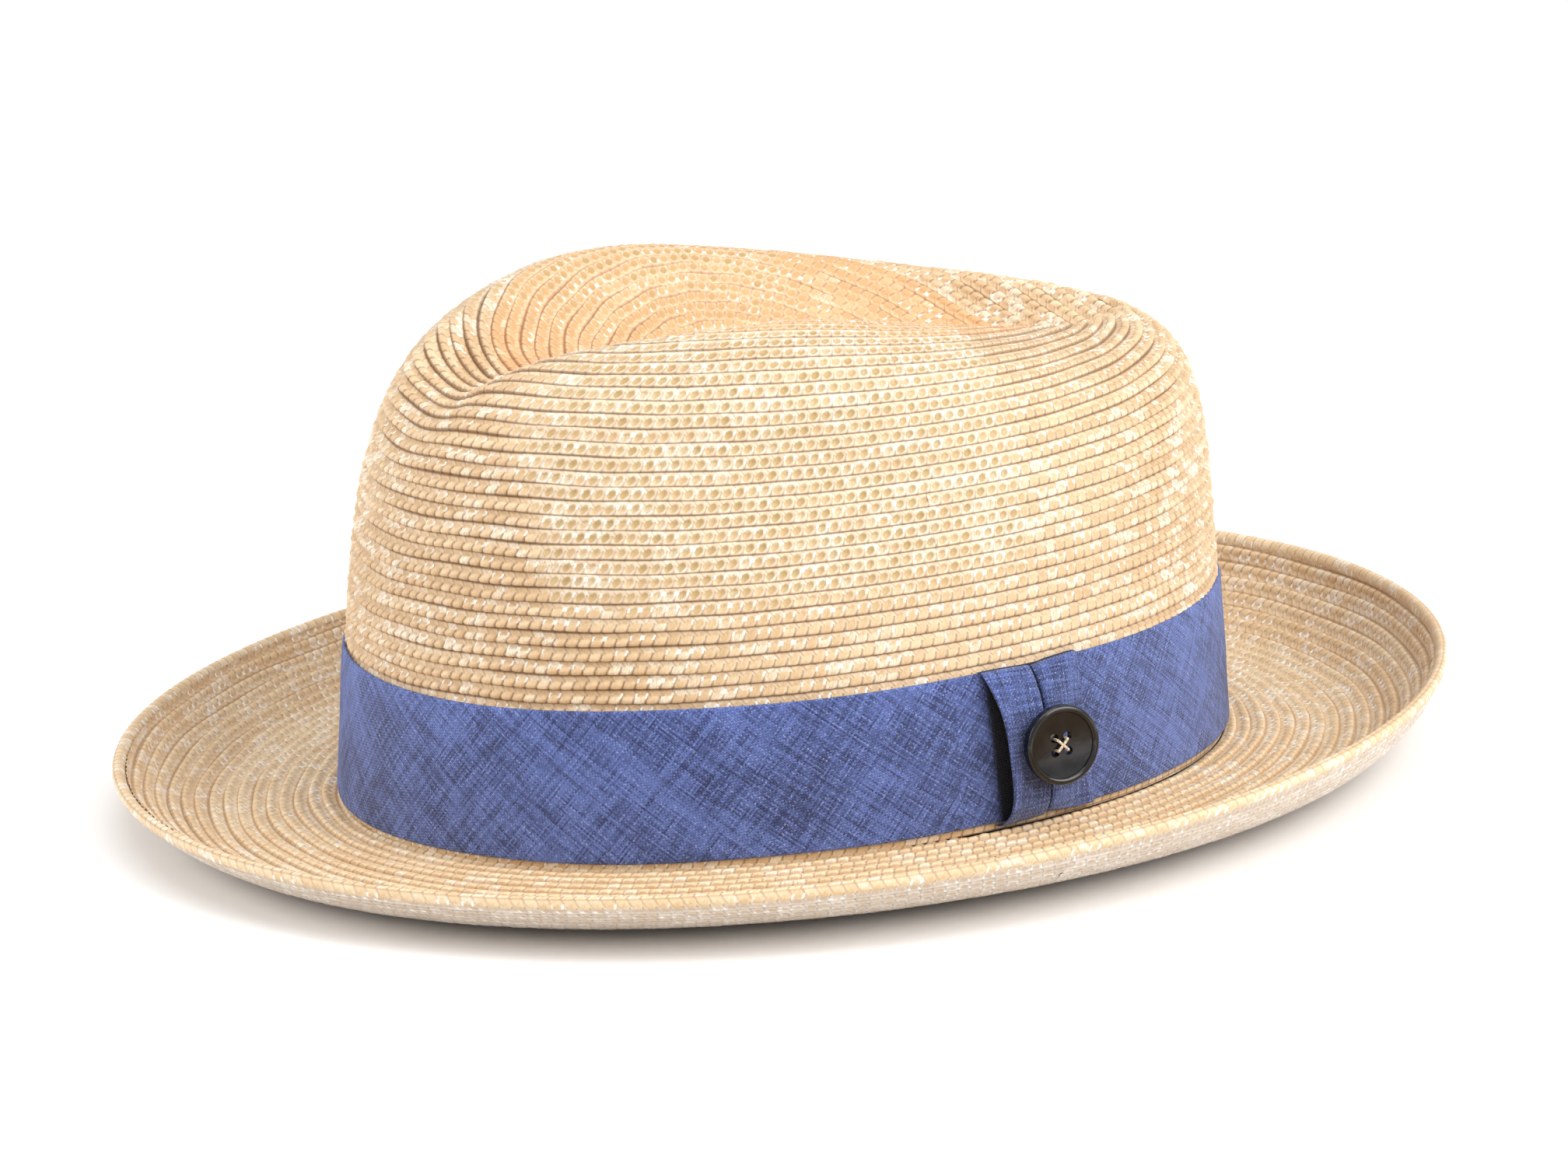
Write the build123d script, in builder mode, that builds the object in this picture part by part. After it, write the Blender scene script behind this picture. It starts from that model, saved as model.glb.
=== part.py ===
"""Straw fedora: a sewn plait crown and brim, a fabric band with a keeper and button, and a sweatband.

Millimetres. +Z is up, the front of the hat faces -Y and the wearer's left is +X.
The floor that the brim rests on is z = 0, under the middle of the hat.
"""
import os
from math import asin, atan2, cos, degrees, exp, hypot, pi, radians, sin, sqrt

from build123d import *

os.makedirs("parts", exist_ok=True)

# ---- head opening and straw -------------------------------------------------------------------
HEAD_HALF_WIDTH = 83.2      # outside of the straw at the head line, side to side
HEAD_HALF_LENGTH = 103.5    # the same, front to back
HEAD_LINE_SADDLE = 1.1      # the head line is this much higher at the sides, lower front and back
STRAW = 2.4                 # thickness of the sewn plait
SEAM_GAP = 0.1              # paper-thin gap between pieces that are sewn together

# ---- crown ------------------------------------------------------------------------------------
CROWN_HEIGHT = 115.0        # before the top is dented
FRONT_SQUARENESS = 4.9      # how tightly the wall turns into the top
BACK_SQUARENESS = 7.2
SIDE_SQUARENESS = 5.0
FRONT_TAPER = 0.095
BACK_TAPER = 0.035
SIDE_TAPER = 0.10
BACK_DROP = 20.0            # the top falls this much towards the back
BACK_DROP_START = -40.0
BACK_DROP_LENGTH = 130.0
FRONT_DROP = 1.5            # and a little towards the front
FRONT_DROP_START = -30.0
FRONT_DROP_LENGTH = 40.0
CHEEK_DEPTH = 7.0           # the hollow pressed into each side of the crown
CHEEK_MIDDLE = -28.0
CHEEK_LENGTH = 38.0
CHEEK_HEIGHT = 84.0
CHEEK_SPREAD = 26.0
CHEEK_EDGE = 35.0           # the hollow fades out nearer than this to the middle of the hat
PINCH_Y = -94.0             # front end of the teardrop dent, low on the crown's front
PINCH_HALF_WIDTH = 12.0
PINCH_LENGTH = 70.0         # the dent opens from the pinch to its full width over this length
DENT_MIDDLE_Y = -10.0       # from here on the dent closes again
DENT_BACK_Y = 88.0          # back end of the dent
DENT_HALF_WIDTH = 42.0      # from the middle of the hat to the crest
DENT_DEPTH = 24.0
PINCH_FULLNESS = 1.4        # higher is a narrower pinch
DENT_BACK_FULLNESS = (2.2, 0.6)     # how round the dent's back end is in plan
DENT_BACK_SLOPE = (2.4, 0.8)        # and in depth
CREST_SOFTNESS = 0.10       # rounding of the crest, as a share of the dent's half width
TIP_RADIUS = 9.0            # first coil of the plait, in the floor of the dent

# ---- brim -------------------------------------------------------------------------------------
RIM_HALF_WIDTH = 131.6      # to the end of the brim's top skin, before the doubled rim course
RIM_HALF_LENGTH = 151.2
RIM_RISE = 11.7             # rim above the head line
RIM_BACK_LIFT = 3.8         # more at the back, less at the front
BRIM_DROOP = 1.2            # the brim dips a little before it curls up
BRIM_FLAT = 0.50            # share of the brim's width before the curl starts
RIM_COURSE = 1.6            # radius of the doubled rim course
HEAD_LINE_HEIGHT = STRAW + BRIM_DROOP + HEAD_LINE_SADDLE    # top of the brim where the crown stands

# ---- fabric band, keeper and button -----------------------------------------------------------
BAND_FOOT = 1.6             # the band starts this far above the brim
BAND_HEIGHT = 33.4
BAND_THICK = 0.9
CLOTH_GAP = 0.15
TACK_ANGLES = (90, 140, 190, 235)    # the back, then round the wearer's right to the front corner
TACK_RADIUS = 0.3
TACK_LENGTH = 2.4
KEEPER_ANGLE = 14.0         # direction of the keeper's middle, behind the wearer's left
KEEPER_WIDTH = 25.0
KEEPER_THICK = 1.0
KEEPER_OVERHANG = 0.5       # room between the keeper's inside and the band's edges
KEEPER_ROOM = 0.3           # the keeper lies this far off the band even where it is tight
KEEPER_BULGES = (5.2, 2.8, 0.3)     # how much further the front edge, middle and back edge stand off
KEEPER_ARCH = ((-0.97, 0.0), (-0.6, 0.9), (0.0, 1.0), (0.6, 0.7), (0.97, 0.0))  # level, share of the bulge
SLIT_WIDTH = 0.7
SLIT_DEPTH = 0.6
BUTTON_RADIUS = 8.8
BUTTON_THICK = 3.2
BUTTON_BACK_BEVEL = 1.3
BUTTON_WEB = 1.7            # thickness in the middle of the dish
BUTTON_LIP = 0.8            # radius of the round raised rim
HOLE_RADIUS = 1.0
HOLE_CIRCLE = 2.3
BUTTON_TILT = 9.0           # the button hangs this far round towards the front on its shank
SHANK_HEIGHT = 2.1
SHANK_RADIUS = 1.7
THREAD = 0.3
THREAD_CIRCLE = 1.7         # the strands lie against the inner sides of the holes
BUTTON_GAP = 0.3

# ---- sweatband --------------------------------------------------------------------------------
SWEAT_HEIGHT = 32.0
SWEAT_THICK = 0.6
SWEAT_FOLD = 6.0            # height of the part turned back behind the reed
REED_RADIUS = 0.6
STITCH_COUNT = 84
STITCH_LENGTH = 4.0
STITCH_RADIUS = 0.25
TAPE_WIDTH = 10.0
TAPE_THICK = 0.5

SECTION_STEP = 10           # degrees between the radial sections of the lofts
CORD_FACETS = 8


# ---- shape of the straw -------------------------------------------------------------------------
def smooth(t):
    """0 below 0, 1 above 1 and an even turn between them."""
    t = min(max(t, 0.0), 1.0)
    return t * t * (3 - 2 * t)


def bell(value, middle, spread):
    return exp(-((value - middle) / spread) ** 2)


def oval_radius(half_width, half_length, angle):
    return 1 / hypot(cos(angle) / half_width, sin(angle) / half_length)


def head_line_z(angle):
    return HEAD_LINE_HEIGHT + HEAD_LINE_SADDLE * cos(2 * angle)


def dent(x, y):
    """Depth of the teardrop dent under the point x, y of the crown's top."""
    front = min(max((y - PINCH_Y) / PINCH_LENGTH, 0), 1)
    back = min(max((y - DENT_MIDDLE_Y) / (DENT_BACK_Y - DENT_MIDDLE_Y), 0), 1)
    opening = sin(pi / 2 * front ** PINCH_FULLNESS)
    closing = max(1 - back ** DENT_BACK_FULLNESS[0], 1e-4) ** DENT_BACK_FULLNESS[1]
    half_width = (PINCH_HALF_WIDTH + (DENT_HALF_WIDTH - PINCH_HALF_WIDTH) * opening) * closing
    depth = DENT_DEPTH * sin(pi / 2 * front) * (1 - back ** DENT_BACK_SLOPE[0]) ** DENT_BACK_SLOPE[1]
    inside = 1 - abs(x) / half_width
    inside = min((inside + hypot(inside, CREST_SOFTNESS)) / 2, 1)
    return depth * (1 - (1 - inside) ** 2)


def crown_outside(turn, angle):
    """Outer skin of the crown in the radial plane at angle: turn runs from 0 at the head line to 90 degrees."""
    front = max(-sin(angle), 0) ** 2
    back = max(sin(angle), 0) ** 2
    power = FRONT_SQUARENESS * front + BACK_SQUARENESS * back + SIDE_SQUARENESS * (1 - front - back)
    size = (cos(turn) ** power + sin(turn) ** power) ** (1 / power)
    out = cos(turn) / size
    up = sin(turn) / size
    taper = FRONT_TAPER if sin(angle) < 0 else BACK_TAPER
    r = out * oval_radius(HEAD_HALF_WIDTH * (1 - SIDE_TAPER * up), HEAD_HALF_LENGTH * (1 - taper * up), angle)
    x = r * cos(angle)
    y = r * sin(angle)
    drop = BACK_DROP * smooth((y - BACK_DROP_START) / BACK_DROP_LENGTH)
    drop += FRONT_DROP * smooth((FRONT_DROP_START - y) / FRONT_DROP_LENGTH)
    z = CROWN_HEIGHT * up - drop * up ** 3
    cheek = bell(y, CHEEK_MIDDLE, CHEEK_LENGTH) * bell(z, CHEEK_HEIGHT, CHEEK_SPREAD)
    r -= CHEEK_DEPTH * cheek * smooth(abs(x) / CHEEK_EDGE)
    z -= dent(x, y)
    foot = (1 - up) * (head_line_z(angle) - HEAD_LINE_HEIGHT)
    return r, z + HEAD_LINE_HEIGHT + foot


def wall_radius(height, angle):
    """Radius of the crown's outer skin at a height above the head line, on the plain lower wall."""
    turn = atan2(height, oval_radius(HEAD_HALF_WIDTH, HEAD_HALF_LENGTH, angle))
    below = crown_outside(turn * 0.8, angle)
    above = crown_outside(turn * 1.3, angle)
    share = (head_line_z(angle) + height - below[1]) / (above[1] - below[1])
    return below[0] + share * (above[0] - below[0])


def rim_point(angle):
    r = oval_radius(RIM_HALF_WIDTH, RIM_HALF_LENGTH, angle)
    return r, HEAD_LINE_HEIGHT + RIM_RISE + RIM_BACK_LIFT * sin(angle)


def brim_top(share, angle):
    """Top skin of the brim: share runs from 0 at the head line to 1 at the rim."""
    head = oval_radius(HEAD_HALF_WIDTH, HEAD_HALF_LENGTH, angle)
    rim, rim_z = rim_point(angle)
    run = (rim - head) * (1 - BRIM_FLAT)
    floor = head_line_z(angle) - BRIM_DROOP
    rise = rim_z - floor
    curl = (run ** 2 + rise ** 2) / (2 * rise)
    if share < BRIM_FLAT:
        return head + (rim - head) * share, head_line_z(angle) - BRIM_DROOP * smooth(share / BRIM_FLAT)
    swing = asin(min(run / curl, 1.0)) if rise < run else pi - asin(min(run / curl, 1.0))
    swing *= (share - BRIM_FLAT) / (1 - BRIM_FLAT)
    return rim - run + curl * sin(swing), floor + curl * (1 - cos(swing))


def thickened(points, thick):
    """The other face of a skin: every point moved to the right of the line's direction."""
    moved = []
    for i, (u, v) in enumerate(points):
        before = points[max(i - 1, 0)]
        after = points[min(i + 1, len(points) - 1)]
        du = after[0] - before[0]
        dv = after[1] - before[1]
        length = hypot(du, dv)
        moved.append((u + thick * dv / length, v - thick * du / length))
    return moved


# ---- sketches in upright radial planes ----------------------------------------------------------
def radial_plane(angle):
    return Plane(origin=(0, 0, 0), x_dir=(cos(angle), sin(angle), 0), z_dir=(sin(angle), -cos(angle), 0))


def skin_sketch(angle, one_face, other_face):
    """Closed section between two smooth lines that have the same number of points."""
    with BuildSketch(radial_plane(angle)) as section:
        with BuildLine():
            Spline(*one_face)
            Line(one_face[-1], other_face[-1])
            Spline(*other_face)
            Line(other_face[0], one_face[0])
        make_face()
    return section.sketch


def polygon_sketch(angle, points):
    with BuildSketch(radial_plane(angle)) as section:
        with BuildLine():
            Polyline(*points, close=True)
        make_face()
    return section.sketch


def half_angles():
    """Directions of the sections from the front, over the wearer's left, to the back."""
    return [radians(a) for a in range(-90, 91, SECTION_STEP)]


def hoop(centre_at, radius):
    """Faceted cord lying along a closed line: centre_at gives its radius and height at an angle."""
    facets = [2 * pi * (i + 0.5) / CORD_FACETS for i in range(CORD_FACETS)]
    sections = []
    for angle in half_angles():
        r, z = centre_at(angle)
        sections.append(polygon_sketch(angle, [(r + radius * cos(f), z + radius * sin(f)) for f in facets]))
    with BuildPart() as cord:
        loft(sections=sections)
        mirror(about=Plane.YZ)
    return cord.part


def tip_turn(angle):
    """Where the crown's section stops at the hole in the dent's floor that the tip coil fills."""
    taper = FRONT_TAPER if sin(angle) < 0 else BACK_TAPER
    top = oval_radius(HEAD_HALF_WIDTH * (1 - SIDE_TAPER), HEAD_HALF_LENGTH * (1 - taper), angle)
    return radians(90) - TIP_RADIUS / top


def crown_section(angle):
    steps = 24
    outside = [crown_outside(tip_turn(angle) * i / steps, angle) for i in range(steps + 1)]
    outside[0] = (outside[0][0], outside[0][1] + SEAM_GAP)
    inside = thickened(outside, -STRAW)
    inside[0] = (outside[0][0] - STRAW, outside[0][1])
    inside[-1] = (outside[-1][0], outside[-1][1] - STRAW)
    return skin_sketch(angle, outside, inside)


def brim_section(angle):
    steps = 12
    top = [brim_top(i / steps, angle) for i in range(steps + 1)]
    inner_edge = (top[0][0] - STRAW, top[0][1])
    under = thickened(top, STRAW)
    return skin_sketch(angle, [inner_edge] + top, [(inner_edge[0], inner_edge[1] - STRAW)] + under)


def rim_centre(angle):
    edge = brim_top(1, angle)
    before = brim_top(0.98, angle)
    length = hypot(edge[0] - before[0], edge[1] - before[1])
    along = ((edge[0] - before[0]) / length, (edge[1] - before[1]) / length)
    reach = RIM_COURSE + 2 * SEAM_GAP
    return edge[0] + along[0] * reach + along[1] * STRAW / 2, edge[1] + along[1] * reach - along[0] * STRAW / 2


def band_section(angle):
    levels = [BAND_FOOT + BAND_HEIGHT * i / 3 for i in range(4)]
    base = head_line_z(angle)
    inner = [(wall_radius(h, angle) + CLOTH_GAP, base + h) for h in levels]
    outer = [(r + BAND_THICK, z) for r, z in inner]
    return skin_sketch(angle, outer, inner)


def sweat_points(angle):
    """The strip with its lower edge turned back up behind the reed."""
    base = head_line_z(angle) - STRAW / 2
    top = base + SWEAT_HEIGHT
    floor = base + SWEAT_THICK
    wall = wall_radius(SWEAT_FOLD, angle) - STRAW - CLOTH_GAP
    back = wall - SWEAT_THICK
    front = back - 2 * (REED_RADIUS + CLOTH_GAP)
    face = front - SWEAT_THICK
    top_front = min(front, wall_radius(SWEAT_HEIGHT, angle) - STRAW - 2 * CLOTH_GAP)
    return [
        (face, base), (wall, base), (wall, base + SWEAT_FOLD), (back, base + SWEAT_FOLD),
        (back, floor), (front, floor), (top_front, top), (top_front - SWEAT_THICK, top),
    ]


def reed_centre(angle):
    face, base = sweat_points(angle)[0]
    return face + SWEAT_THICK + CLOTH_GAP + REED_RADIUS, base + SWEAT_THICK + CLOTH_GAP + REED_RADIUS


def lean_at(angle):
    """Inward lean of the crown's wall over the height of the band, in radians."""
    low = wall_radius(BAND_FOOT, angle)
    high = wall_radius(BAND_FOOT + BAND_HEIGHT, angle)
    return atan2(low - high, BAND_HEIGHT)


def outward_axes(angle):
    """Unit vectors on the band at angle: outwards, towards the back of the hat, and up the leaning wall."""
    flat_out = Vector(cos(angle) / HEAD_HALF_WIDTH ** 2, sin(angle) / HEAD_HALF_LENGTH ** 2, 0).normalized()
    back = Vector(-flat_out.Y, flat_out.X, 0)
    lean = lean_at(angle)
    out = flat_out * cos(lean) + Vector(0, 0, 1) * sin(lean)
    return out, back, out.cross(back)


def on_band(angle, height):
    """Point on the outer face of the band."""
    r = wall_radius(height, angle) + CLOTH_GAP + BAND_THICK
    return Vector(r * cos(angle), r * sin(angle), head_line_z(angle) + height)


# ---- straw: crown, tip coil, brim and rim -------------------------------------------------------
with BuildPart() as straw_crown:
    loft(sections=[crown_section(angle) for angle in half_angles()])
    mirror(about=Plane.YZ)
straw_crown.part.label = "straw_crown"
export_step(straw_crown.part, "parts/straw_crown.step")

tip_front = crown_outside(tip_turn(radians(-90)), radians(-90))
tip_back = crown_outside(tip_turn(radians(90)), radians(90))
tip_slope = degrees(atan2(tip_back[1] - tip_front[1], tip_back[0] + tip_front[0]))
tip_middle = (0, 0, (tip_front[1] + tip_back[1]) / 2 - STRAW / 2)
with BuildPart() as tip_coil:
    with Locations(Location(tip_middle, (tip_slope, 0, 0))):
        Cylinder(TIP_RADIUS - 2 * CLOTH_GAP, STRAW)
        for ring in (1 / 3, 2 / 3):
            with Locations((0, 0, STRAW / 2)):
                Torus(TIP_RADIUS * ring, STRAW / 8, mode=Mode.SUBTRACT)
tip_coil.part.label = "tip_coil"
export_step(tip_coil.part, "parts/tip_coil.step")

with BuildPart() as straw_brim:
    loft(sections=[brim_section(angle) for angle in half_angles()])
    mirror(about=Plane.YZ)
straw_brim.part.label = "straw_brim"
export_step(straw_brim.part, "parts/straw_brim.step")

rim_course = hoop(rim_centre, RIM_COURSE)
rim_course.label = "rim_course"
export_step(rim_course, "parts/rim_course.step")

# ---- fabric band and its tacks ------------------------------------------------------------------
with BuildPart() as hat_band:
    loft(sections=[band_section(angle) for angle in half_angles()])
    mirror(about=Plane.YZ)
hat_band.part.label = "hat_band"
export_step(hat_band.part, "parts/hat_band.step")

with BuildPart() as band_tacks:
    for tack in TACK_ANGLES:
        tack_out, tack_back, tack_up = outward_axes(radians(tack))
        tack_middle = on_band(radians(tack), BAND_FOOT + BAND_HEIGHT - TACK_LENGTH / 2) + tack_out * 2 * TACK_RADIUS
        with Locations(Plane(origin=tack_middle, x_dir=tack_back, z_dir=tack_up)):
            Cylinder(TACK_RADIUS, TACK_LENGTH)
band_tacks.part.label = "band_tacks"
export_step(band_tacks.part, "parts/band_tacks.step")

# ---- keeper: a strip wrapped over the band, with an open slit down its middle --------------------
keeper_angle = radians(KEEPER_ANGLE)
keeper_out, keeper_back, keeper_up = outward_axes(keeper_angle)
keeper_middle = on_band(keeper_angle, BAND_FOOT + BAND_HEIGHT / 2)
inside_half = BAND_HEIGHT / 2 + KEEPER_OVERHANG


def keeper_lines(bulge):
    """Inner line of the keeper from its lower to its upper turn, as offsets out from and up the band."""
    arch = [(KEEPER_ROOM + bulge * share, level * inside_half) for level, share in KEEPER_ARCH]
    return [(-BAND_THICK, -inside_half)] + arch + [(-BAND_THICK, inside_half)]


def keeper_sketch(along, bulge, inner_skin, outer_skin):
    """Section of the keeper across its width, between two depths from its inner line."""
    line = keeper_lines(bulge)
    inner = thickened(line, inner_skin)
    outer = thickened(line, outer_skin)
    plane = Plane(origin=keeper_middle + keeper_back * along, x_dir=keeper_out, z_dir=-keeper_back)
    with BuildSketch(plane) as section:
        with BuildLine():
            Spline(*inner)
            Line(inner[-1], outer[-1])
            Spline(*outer)
            Line(outer[0], inner[0])
        make_face()
    return section.sketch


keeper_places = (-KEEPER_WIDTH / 2, 0, KEEPER_WIDTH / 2)
slit_cut = keeper_sketch(SLIT_WIDTH / 2, KEEPER_BULGES[1], KEEPER_THICK - SLIT_DEPTH, KEEPER_THICK * 2)
with BuildPart() as keeper:
    loft(sections=[keeper_sketch(p, b, 0, KEEPER_THICK) for p, b in zip(keeper_places, KEEPER_BULGES)])
    extrude(slit_cut, amount=SLIT_WIDTH, mode=Mode.SUBTRACT)
keeper.part.label = "keeper"
export_step(keeper.part, "parts/keeper.step")

# ---- button, its shank and its thread -----------------------------------------------------------
keeper_face = KEEPER_ROOM + KEEPER_BULGES[1] + KEEPER_THICK
shank_foot = keeper_middle + keeper_out * (keeper_face + BUTTON_GAP)
shank_plane = Plane(origin=shank_foot, x_dir=keeper_back, z_dir=keeper_out)
button_tilt = radians(BUTTON_TILT)
button_foot = shank_foot + keeper_out * (SHANK_HEIGHT + SHANK_RADIUS * sin(button_tilt) + BUTTON_GAP)
button_out = keeper_out * cos(button_tilt) - keeper_back * sin(button_tilt)
button_plane = Plane(origin=button_foot, x_dir=keeper_up, z_dir=button_out)

with BuildPart() as button_shank:
    with BuildSketch(shank_plane):
        Circle(SHANK_RADIUS)
    extrude(amount=SHANK_HEIGHT)
button_shank.part.label = "button_shank"
export_step(button_shank.part, "parts/button_shank.step")

with BuildPart() as button_blank:
    with BuildSketch(Plane.XZ):
        lip_foot = BUTTON_THICK - BUTTON_LIP
        well = BUTTON_RADIUS - 2 * BUTTON_LIP
        with BuildLine():
            Polyline((0, BUTTON_WEB), (0, 0), (BUTTON_RADIUS - BUTTON_BACK_BEVEL, 0))
            ThreePointArc(
                (BUTTON_RADIUS - BUTTON_BACK_BEVEL, 0),
                (BUTTON_RADIUS - BUTTON_BACK_BEVEL * (1 - sin(pi / 4)), BUTTON_BACK_BEVEL * (1 - cos(pi / 4))),
                (BUTTON_RADIUS, BUTTON_BACK_BEVEL),
            )
            Line((BUTTON_RADIUS, BUTTON_BACK_BEVEL), (BUTTON_RADIUS, lip_foot))
            ThreePointArc((BUTTON_RADIUS, lip_foot), (BUTTON_RADIUS - BUTTON_LIP, BUTTON_THICK), (well, lip_foot))
            ThreePointArc((well, lip_foot), (well / 2, BUTTON_WEB + (lip_foot - BUTTON_WEB) / 4), (0, BUTTON_WEB))
        make_face()
    revolve(axis=Axis.Z)
    with BuildSketch(Plane.XY):
        with PolarLocations(HOLE_CIRCLE, 4, start_angle=45):
            Circle(HOLE_RADIUS)
    extrude(amount=BUTTON_THICK, mode=Mode.SUBTRACT)
button = button_plane.location * button_blank.part
button.label = "button"
export_step(button, "parts/button.step")

# Four strands come up through the holes and cross over the middle of the dish.
with BuildPart() as thread_blank:
    strand_top = BUTTON_WEB + BUTTON_GAP + 2 * THREAD
    with PolarLocations(THREAD_CIRCLE, 4, start_angle=45):
        Cylinder(THREAD, strand_top, align=(Align.CENTER, Align.CENTER, Align.MIN))
    for turn in (radians(45), radians(135)):
        with Locations(Plane(origin=(0, 0, strand_top), x_dir=(0, 0, 1), z_dir=(cos(turn), sin(turn), 0))):
            Cylinder(THREAD, 2 * THREAD_CIRCLE)
button_thread = button_plane.location * thread_blank.part
button_thread.label = "button_thread"
export_step(button_thread, "parts/button_thread.step")

# ---- sweatband, reed, stitches and back tape ----------------------------------------------------
with BuildPart() as sweatband:
    loft(sections=[polygon_sketch(angle, sweat_points(angle)) for angle in half_angles()])
    mirror(about=Plane.YZ)
sweatband.part.label = "sweatband"
export_step(sweatband.part, "parts/sweatband.step")

sweatband_reed = hoop(reed_centre, REED_RADIUS)
sweatband_reed.label = "sweatband_reed"
export_step(sweatband_reed, "parts/sweatband_reed.step")

with BuildPart() as sweatband_stitches:
    for number in range(STITCH_COUNT):
        angle = 2 * pi * (number + 0.5) / STITCH_COUNT
        face = sweat_points(angle)[0]
        r = face[0] - 2 * STITCH_RADIUS
        out, back, up = outward_axes(angle)
        place = Vector(r * cos(angle), r * sin(angle), face[1] + SWEAT_THICK / 2)
        with Locations(Plane(origin=place, x_dir=(0, 0, 1), z_dir=back)):
            Cylinder(STITCH_RADIUS, STITCH_LENGTH)
sweatband_stitches.part.label = "sweatband_stitches"
export_step(sweatband_stitches.part, "parts/sweatband_stitches.step")

tape_face = sweat_points(radians(90))[-1]
with BuildPart() as sweatband_tape:
    with Locations((0, tape_face[0] - 2 * TAPE_THICK, tape_face[1] - SWEAT_HEIGHT / 2 + TAPE_THICK)):
        Box(TAPE_WIDTH, TAPE_THICK, SWEAT_HEIGHT - SWEAT_FOLD)
sweatband_tape.part.label = "sweatband_tape"
export_step(sweatband_tape.part, "parts/sweatband_tape.step")
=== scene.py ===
from math import atan2, cos, pi, radians, sin

import bpy
import numpy as np
from mathutils import Matrix, Vector

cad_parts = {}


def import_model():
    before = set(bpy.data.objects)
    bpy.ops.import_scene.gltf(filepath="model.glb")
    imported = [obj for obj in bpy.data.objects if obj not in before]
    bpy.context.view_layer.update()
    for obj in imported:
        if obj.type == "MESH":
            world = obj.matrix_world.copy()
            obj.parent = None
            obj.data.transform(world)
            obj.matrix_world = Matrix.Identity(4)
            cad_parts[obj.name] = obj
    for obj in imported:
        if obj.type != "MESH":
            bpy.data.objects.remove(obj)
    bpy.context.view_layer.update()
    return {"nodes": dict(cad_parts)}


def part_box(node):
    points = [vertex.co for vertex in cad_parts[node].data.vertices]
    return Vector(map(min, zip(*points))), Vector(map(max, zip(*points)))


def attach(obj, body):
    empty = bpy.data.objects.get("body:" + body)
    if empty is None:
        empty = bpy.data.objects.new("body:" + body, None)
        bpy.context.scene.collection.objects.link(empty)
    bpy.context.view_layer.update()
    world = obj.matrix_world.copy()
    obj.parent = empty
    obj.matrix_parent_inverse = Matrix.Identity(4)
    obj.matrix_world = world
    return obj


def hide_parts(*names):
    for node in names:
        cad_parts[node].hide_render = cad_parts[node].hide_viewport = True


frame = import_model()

MM = 0.001

# ---- sizes, from the frame where a node has them ----------------------------------------------------
STRAW = 2.4
CROWN_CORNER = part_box("straw_crown")[1] / MM
HEAD_HALF_WIDTH = CROWN_CORNER.x
HEAD_HALF_LENGTH = CROWN_CORNER.y
HEAD_LINE_SADDLE = 1.1
BRIM_DROOP = 1.2
HEAD_LINE_HEIGHT = STRAW + BRIM_DROOP + HEAD_LINE_SADDLE

CROWN_HEIGHT = 115.0
FRONT_SQUARENESS, BACK_SQUARENESS, SIDE_SQUARENESS = 4.9, 7.2, 5.0
FRONT_TAPER, BACK_TAPER, SIDE_TAPER = 0.095, 0.035, 0.10
BACK_DROP, BACK_DROP_START, BACK_DROP_LENGTH = 20.0, -40.0, 130.0
FRONT_DROP, FRONT_DROP_START, FRONT_DROP_LENGTH = 1.5, -30.0, 40.0
CHEEK_DEPTH, CHEEK_MIDDLE, CHEEK_LENGTH, CHEEK_HEIGHT, CHEEK_SPREAD = 7.0, -28.0, 38.0, 84.0, 26.0
CHEEK_EDGE = 35.0
PINCH_Y, PINCH_HALF_WIDTH, PINCH_LENGTH, PINCH_FULLNESS = -94.0, 12.0, 70.0, 1.4
DENT_MIDDLE_Y, DENT_BACK_Y, DENT_HALF_WIDTH, DENT_DEPTH = -10.0, 88.0, 42.0, 24.0
DENT_BACK_FULLNESS, DENT_BACK_SLOPE, CREST_SOFTNESS = (2.2, 0.6), (2.4, 0.8), 0.10

RIM_HALF_WIDTH, RIM_HALF_LENGTH = 131.6, 151.2
RIM_RISE, RIM_BACK_LIFT, BRIM_FLAT = 11.7, 3.8, 0.50
RIM_COURSE = 1.6
RIM_THICK = 2.5
RIM_LOOP = 0.13         # height of the loops on the doubled rim

BAND_FOOT, BAND_HEIGHT, BAND_THICK = 1.6, 33.4, 0.9
CLOTH_GAP = 0.15
KEEPER_ANGLE = radians(14)
KEEPER_WIDTH, KEEPER_OVERHANG = 25.0, 0.5
KEEPER_BULGES = (5.2, 2.8, 0.3)
KEEPER_ROOM = 0.3
SLIT = 0.52
KEEPER_CLOTH, KEEPER_LAYER = 0.34, 0.42
SLIT_STEP = 0.45        # the front half's edge lies this much over the back half's
KEEPER_PULL = 1.4       # the middle of the front edge is drawn back where it stands off
KEEPER_LEAN = 0.9       # the foot sits this much further back than the middle
BAND_CURVE = 130.0      # radius of the band where the keeper sits
FLAP_ACROSS, FLAP_UP = 15, 64       # rows of the keeper's mesh
FLAP_TUCK = 0.06        # the ends turn in over this share of half the keeper's height
SWEAT_HEIGHT, SWEAT_THICK, SWEAT_FOLD, REED_RADIUS = 32.0, 0.6, 6.0, 0.6

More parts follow.
